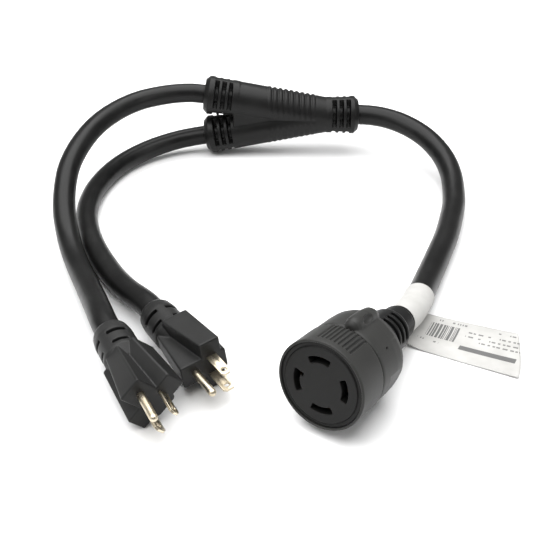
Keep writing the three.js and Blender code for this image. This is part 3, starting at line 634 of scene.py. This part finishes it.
def smooth_route(points, per_span=12):
    """A centripetal Catmull-Rom curve through the points, as many close points."""
    p = [Vector(q) for q in points]
    p = [2 * p[0] - p[1]] + p + [2 * p[-1] - p[-2]]
    route = []
    for a, b, c, d in zip(p, p[1:], p[2:], p[3:]):
        knots = [0.0]
        for u, v in ((a, b), (b, c), (c, d)):
            knots.append(knots[-1] + (v - u).length ** 0.5)
        for i in range(per_span):
            t = knots[1] + (knots[2] - knots[1]) * i / per_span
            first = [u + (v - u) * ((t - k) / (m - k)) for u, v, k, m in (
                (a, b, knots[0], knots[1]), (b, c, knots[1], knots[2]), (c, d, knots[2], knots[3]))]
            second = [u + (v - u) * ((t - k) / (m - k)) for u, v, k, m in (
                (first[0], first[1], knots[0], knots[2]), (first[1], first[2], knots[1], knots[3]))]
            route.append(second[0] + (second[1] - second[0]) * ((t - knots[1]) / (knots[2] - knots[1])))
    route.append(p[-2])
    return route


def build_cord(name, node, points, diameter):
    """One cord along its route; its ends reach a little way into their collars."""
    route = smooth_route(points)
    route[0] = route[0] + (route[0] - route[1]).normalized() * CORD_SEAT
    route[-1] = route[-1] + (route[-1] - route[-2]).normalized() * CORD_SEAT
    data = bpy.data.curves.new(name, "CURVE")
    data.dimensions = "3D"
    data.bevel_depth = diameter / 2 * MM
    data.bevel_resolution = 12
    data.use_fill_caps = True
    spline = data.splines.new("POLY")
    spline.points.add(len(route) - 1)
    for point, place in zip(spline.points, route):
        point.co = (*bench(*place), 1)
    spline.use_smooth = True
    piece = bpy.data.objects.new(name, data)
    scene.collection.objects.link(piece)
    data.materials.append(JACKET)
    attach(piece, "root")
    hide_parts(node)


# ------------------------------------------------------------------ the paper label
LABEL_START, LABEL_WIDTH, LABEL_LENGTH = 1.2, 41.0, 84.0
LABEL_R = TRUNK_OD / 2 + 0.95
LEAVE_ANGLE, OVERLAP, FLAG_TURN, SLOPE, REST_Z = 233, 18, -22, -37, 0.4
FLAG_FAN = 4.5                           # degrees the flag's near edge turns further than its far edge
TAPER = 0.245                            # how much shorter the flag gets for each millimetre along the cord
WRAP = 60.6                              # length of the part that goes round the cord
PAPER_THICK = 0.14
LABEL_ROWS, WRAP_STEPS, FLAG_STEPS = 24, 72, 67


def paper():
    """White label paper: faint fibres and painted crease shade in a cloudy tone, with a printed bar pattern
    and rows of grey dashes.
    """
    material, shader, add, link = new_material("label_paper", (0.43, 0.425, 0.41), 0.62)
    coords = add("ShaderNodeTexCoord")
    fibres = noise(add, coords.outputs["Object"], 700.0, 6.0, 0.7)
    clouds = noise(add, coords.outputs["Object"], 60.0, 3.0)
    # the cloudy tone paints the shade of faint creases into the paper's colour
    base = mix_color(add, spread(add, clouds.outputs["Fac"], 0, 1), (0.385, 0.38, 0.365, 1),
                     (0.47, 0.465, 0.45, 1))
    place = add("ShaderNodeSeparateXYZ", {0: coords.outputs["UV"]})
    across, around = place.outputs[0], place.outputs[1]

    def maths(operation, a, b=0.0):
        return add("ShaderNodeMath", {0: a, 1: b}, operation=operation).outputs[0]

    def within(value, low, high):
        return maths("MULTIPLY", maths("GREATER_THAN", value, low), maths("LESS_THAN", value, high))

    def patch(left, right, bottom, top):
        return maths("MULTIPLY", within(across, left, right), within(around, bottom, top))

    def stripes(value, period, seed):
        """Bars of uneven width along a value."""
        cell = maths("FLOOR", maths("DIVIDE", value, period))
        draw = add("ShaderNodeTexWhiteNoise", {1: maths("ADD", cell, seed)}, noise_dimensions="1D")
        return maths("GREATER_THAN", draw.outputs[0], 0.48)

    def block(left, right, near, far):
        return patch(left, right, WRAP + near, WRAP + far)

    ink = maths("MULTIPLY", block(18, 33.5, 19, 38.5), stripes(around, 0.42, 3.0))
    rows = ((36.4, 1.8, 22, 42), (12.2, 1.8, 16, 30), (36.0, 1.3, 60, 81), (30.6, 1.4, 44, 81),
            (26.3, 1.4, 43, 81), (22.4, 1.4, 50, 81))
    for number, (row, height, near, far) in enumerate(rows):
        dashes = maths("MULTIPLY", block(row, row + height, near, far),
                       stripes(around, 0.8, 11.0 + 7 * number))
        ink = maths("MAXIMUM", ink, maths("MULTIPLY", dashes, 0.85))
    ink = maths("MAXIMUM", ink, block(12, 16.5, 43, 79))
    printed = mix_color(add, maths("MULTIPLY", ink, 0.82), base, (0.03, 0.03, 0.032, 1))
    link(printed, shader.inputs["Base Color"])
    bump = add("ShaderNodeBump", {"Height": fibres.outputs["Fac"], "Strength": 0.2, "Distance": 0.00003})
    link(bump.outputs["Normal"], shader.inputs["Normal"])
    return material


def label_rows(route):
    """The sheet's middle as rows of points: nearly once round the cord, then down to the bench."""
    lengths = [0.0]
    for a, b in zip(route, route[1:]):
        lengths.append(lengths[-1] + (b - a).length)
    rows = []
    for r in range(LABEL_ROWS + 1):
        want = LABEL_START + LABEL_WIDTH * r / LABEL_ROWS
        k = max(i for i, d in enumerate(lengths) if d <= want)
        share = (want - lengths[k]) / (lengths[k + 1] - lengths[k])
        centre = route[k].lerp(route[k + 1], share)
        tangent = (route[k + 2] - route[max(k - 1, 0)]).normalized()
        side = -Vector((0, 0, 1)).cross(tangent).normalized()
        up = side.cross(tangent).normalized()
        row = []
        turn = 360 - OVERLAP
        for i in range(WRAP_STEPS + 1):
            angle = math.radians(LEAVE_ANGLE - turn + turn * i / WRAP_STEPS)
            row.append(centre + side * LABEL_R * math.cos(angle) + up * LABEL_R * math.sin(angle))
        leave = row[-1]
        heading = math.radians(FLAG_TURN - FLAG_FAN * (1 - r / LABEL_ROWS))
        way = Vector((math.cos(heading), math.sin(heading), 0))
        slope, soft = math.tan(math.radians(SLOPE)), 3
        for i in range(1, FLAG_STEPS + 1):
            reach = (LABEL_LENGTH - TAPER * LABEL_WIDTH * r / LABEL_ROWS) * i / FLAG_STEPS - 0.3
            over = (leave.z + slope * reach - REST_Z) / soft
            z = REST_Z + soft * (math.log1p(math.exp(over)) if over < 30 else over)
            curl = 0.9 * (reach / LABEL_LENGTH) ** 4 * (1 + 0.3 * r / LABEL_ROWS)
            spot = leave + way * reach
            row.append(Vector((spot.x, spot.y, z - soft * 0.1 * math.exp(-reach / 8) + curl)))
        rows.append(row)
    return rows


def build_label(route):
    rows = label_rows(route)
    mesh = bmesh.new()
    uv = mesh.loops.layers.uv.new("label")
    grid = [[mesh.verts.new(p) for p in row] for row in rows]
    places = {}
    for r, row in enumerate(rows):
        distance = 0.0
        for c, point in enumerate(row):
            distance += (point - row[c - 1]).length if c else 0.0
            places[grid[r][c]] = (LABEL_WIDTH * r / (len(rows) - 1), distance)
    for a, b in zip(grid, grid[1:]):
        for i in range(len(a) - 1):
            face = mesh.faces.new((a[i], a[i + 1], b[i + 1], b[i]))
            for loop in face.loops:
                loop[uv].uv = places[loop.vert]
    data = bpy.data.meshes.new("paper_label_sheet")
    mesh.to_mesh(data)
    mesh.free()
    piece = bpy.data.objects.new("paper_label_sheet", data)
    scene.collection.objects.link(piece)
    thicken = piece.modifiers.new("thick", "SOLIDIFY")
    thicken.thickness, thicken.offset = PAPER_THICK, 0.0
    settle(piece)
    return adopt(piece, paper(), ["paper_label"], TO_ROW)


# ------------------------------------------------------------------ build everything
build_splitter()
build_plug("left", (-62, 334.9, 17.05), -62.5, 44.4)
build_plug("right", (-31.6, 365.8, 18.7), -57.6, 97.7)
build_receptacle()
label = build_label(smooth_route(list(reversed(TRUNK))))
build_cord("outer_leg_jacket", "outer_leg_cord", OUTER_LEG, LEG_OD)
build_cord("inner_leg_jacket", "inner_leg_cord", INNER_LEG, LEG_OD)
build_cord("trunk_jacket", "trunk_cord", TRUNK, TRUNK_OD)

INSIDE_METAL = ("joint", "contact")
for name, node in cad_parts.items():
    if name.endswith(INSIDE_METAL):
        node.data.materials[0] = CONTACT
    elif name.endswith(("block", "carrier", "wires")):
        node.data.materials[0] = INNER


def pale_floor():
    """A plain near-white table top."""
    material, shader, add, link = new_material("table_top", (0.86, 0.86, 0.86), 0.55)
    clouds = noise(add, add("ShaderNodeTexCoord").outputs["Object"], 4.0, 3.0)
    tone = mix_color(add, spread(add, clouds.outputs["Fac"], 0, 1), (0.85, 0.85, 0.85, 1),
                     (0.87, 0.87, 0.87, 1))
    link(tone, shader.inputs["Base Color"])
    return material


floor_mesh = bmesh.new()
bmesh.ops.create_grid(floor_mesh, x_segments=8, y_segments=8, size=6)
floor_data = bpy.data.meshes.new("floor")
floor_mesh.to_mesh(floor_data)
floor_mesh.free()
floor_data.materials.append(pale_floor())
floor = bpy.data.objects.new("floor", floor_data)
scene.collection.objects.link(floor)
